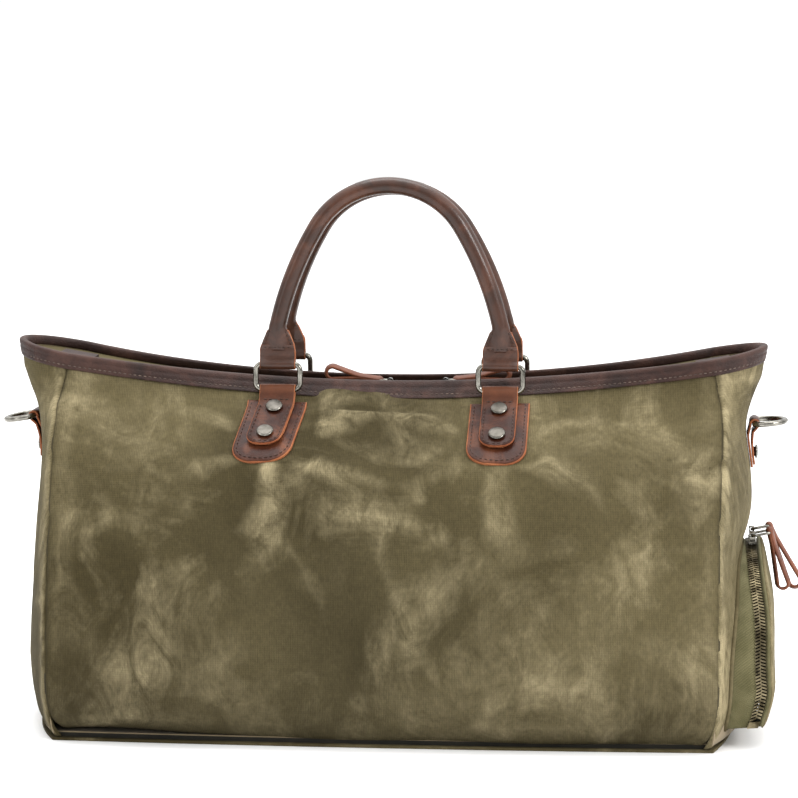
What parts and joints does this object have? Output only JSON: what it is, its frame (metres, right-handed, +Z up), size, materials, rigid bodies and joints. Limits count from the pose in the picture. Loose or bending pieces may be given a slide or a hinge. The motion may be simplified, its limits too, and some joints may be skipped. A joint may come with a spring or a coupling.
{
  "type": "weekender bag",
  "caption": "Waxed canvas weekender bag with leather rim, rolled handles on metal rings, top zip and an end shoe compartment.",
  "frame": {"origin": "centre of the base where it rests on the floor", "axes": "+Z up, +X along the length towards the shoe compartment, -Y towards the front"},
  "size_m": [0.5775, 0.2466, 0.392],
  "materials": {
    "canvas": "waxed",
    "board": "matte",
    "lining": "matte",
    "binding_leather": "matte",
    "handle_leather": "satin",
    "rope": "matte",
    "zip_tape": "matte",
    "brass": "antique",
    "hardware": "antique",
    "pull_leather": "satin"
  },
  "bodies": {
    "shell": {"front_panel": "canvas", "rear_panel": "canvas", "left_gusset": "canvas", "right_gusset": "canvas", "base_panel": "canvas", "base_board": "board", "lining_front": "lining", "lining_rear": "lining", "lining_left": "lining", "lining_right": "lining", "lining_base": "lining", "rim_binding": "binding_leather", "front_zip_panel": "canvas", "rear_zip_panel": "canvas", "main_zip_tape_front": "zip_tape", "main_zip_tape_rear": "zip_tape", "main_zip_chain": "brass", "zip_end_left": "binding_leather", "zip_end_right": "binding_leather", "patch_front_left": "handle_leather", "patch_front_right": "handle_leather", "patch_rear_left": "handle_leather", "patch_rear_right": "handle_leather", "chape_front_left": "handle_leather", "chape_front_right": "handle_leather", "chape_rear_left": "handle_leather", "chape_rear_right": "handle_leather", "handle_rivets": "hardware", "side_tab_left": "handle_leather", "side_tab_right": "handle_leather", "side_rivets": "hardware", "shoe_wall_tape": "zip_tape", "shoe_chain_wall": "brass", "shoe_sill": "canvas", "shoe_liner": "lining", "shoe_stops": "brass", "slip_pocket": "lining", "wall_pocket": "lining", "wall_pocket_chain": "brass"},
    "front_handle": {"front_handle_cover": "handle_leather", "front_handle_core": "rope"},
    "rear_handle": {"rear_handle_cover": "handle_leather", "rear_handle_core": "rope"},
    "ring_front_left": {"ring_front_left": "hardware"},
    "ring_front_right": {"ring_front_right": "hardware"},
    "ring_rear_left": {"ring_rear_left": "hardware"},
    "ring_rear_right": {"ring_rear_right": "hardware"},
    "d_ring_left": {"d_ring_left": "hardware"},
    "d_ring_right": {"d_ring_right": "hardware"},
    "main_slider_left": {"main_slider_left": "hardware"},
    "main_slider_right": {"main_slider_right": "hardware"},
    "main_pull_left": {"main_pull_left": "pull_leather"},
    "main_pull_right": {"main_pull_right": "pull_leather"},
    "shoe_slider_front": {"shoe_slider_front": "hardware"},
    "shoe_slider_rear": {"shoe_slider_rear": "hardware"},
    "shoe_pull_front": {"shoe_pull_front": "pull_leather"},
    "shoe_pull_rear": {"shoe_pull_rear": "pull_leather"},
    "shoe_door": {"shoe_door": "canvas", "shoe_door_tape": "zip_tape", "shoe_chain_door": "brass"}
  },
  "joints": [
    {"name": "ring_front_left_swing", "type": "hinge", "parent": "shell", "child": "ring_front_left", "pos_m": [-0.079, -0.0336, 0.241], "axis": [1, 0, 0], "range_deg": [-4, 80]},
    {"name": "ring_rear_left_swing", "type": "hinge", "parent": "shell", "child": "ring_rear_left", "pos_m": [-0.079, 0.0336, 0.241], "axis": [-1, 0, 0], "range_deg": [0, 90]},
    {"name": "ring_front_right_swing", "type": "hinge", "parent": "shell", "child": "ring_front_right", "pos_m": [0.079, -0.0336, 0.241], "axis": [1, 0, 0], "range_deg": [-4, 80]},
    {"name": "ring_rear_right_swing", "type": "hinge", "parent": "shell", "child": "ring_rear_right", "pos_m": [0.079, 0.0336, 0.241], "axis": [-1, 0, 0], "range_deg": [0, 90]},
    {"name": "front_handle_swing", "type": "hinge", "parent": "ring_front_left", "child": "front_handle", "pos_m": [-0.079, -0.0336, 0.259], "axis": [1, 0, 0], "range_deg": [-3, 20]},
    {"name": "rear_handle_swing", "type": "hinge", "parent": "ring_rear_left", "child": "rear_handle", "pos_m": [-0.079, 0.02986, 0.25861], "axis": [-1, 0, 0], "range_deg": [0, 20]},
    {"name": "d_ring_left_swing", "type": "hinge", "parent": "shell", "child": "d_ring_left", "pos_m": [-0.2596, 0, 0.217], "axis": [0, 1, 0], "range_deg": [-70, 60]},
    {"name": "d_ring_right_swing", "type": "hinge", "parent": "shell", "child": "d_ring_right", "pos_m": [0.2582, 0, 0.217], "axis": [0, -1, 0], "range_deg": [-70, 60]},
    {"name": "main_slider_left_run", "type": "hinge", "parent": "shell", "child": "main_slider_left", "pos_m": [0, 0, 1.58857], "axis": [0, 1, 0], "range_deg": [-0.3, 8.65]},
    {"name": "main_slider_right_run", "type": "hinge", "parent": "shell", "child": "main_slider_right", "pos_m": [0, 0, 1.58857], "axis": [0, -1, 0], "range_deg": [-0.3, 7.12]},
    {"name": "main_pull_left_flip", "type": "hinge", "parent": "main_slider_left", "child": "main_pull_left", "pos_m": [-0.00199, 0, 0.2436], "axis": [0, 1, 0], "range_deg": [0, 100]},
    {"name": "main_pull_right_flip", "type": "hinge", "parent": "main_slider_right", "child": "main_pull_right", "pos_m": [0.03784, 0, 0.24413], "axis": [0, -1, 0], "range_deg": [0, 100]},
    {"name": "shoe_slider_front_run", "type": "hinge", "parent": "shoe_door", "child": "shoe_slider_front", "pos_m": [0.26153, 0, 0.04322], "axis": [0.9969, 0, 0.0785], "range_deg": [0, 80]},
    {"name": "shoe_slider_rear_run", "type": "hinge", "parent": "shoe_door", "child": "shoe_slider_rear", "pos_m": [0.26153, 0, 0.04322], "axis": [-0.9969, 0, -0.0785], "range_deg": [0, 80]},
    {"name": "shoe_pull_front_flip", "type": "hinge", "parent": "shoe_slider_front", "child": "shoe_pull_front", "pos_m": [0.2575, -0.01229, 0.1378], "axis": [0.0101, -0.9917, -0.1284], "range_deg": [0, 74]},
    {"name": "shoe_pull_rear_flip", "type": "hinge", "parent": "shoe_slider_rear", "child": "shoe_pull_rear", "pos_m": [0.2575, 0.01229, 0.1378], "axis": [-0.0101, -0.9917, 0.1284], "range_deg": [0, 74]},
    {"name": "shoe_door_swing", "type": "hinge", "parent": "shell", "child": "shoe_door", "pos_m": [0.2712, 0, 0.01589], "axis": [0, 1, 0], "range_deg": [0, 95]}
  ],
  "couplings": [
    {"joint": "ring_front_right_swing", "follows": "ring_front_left_swing", "ratio": 1},
    {"joint": "ring_rear_right_swing", "follows": "ring_rear_left_swing", "ratio": 1}
  ]
}
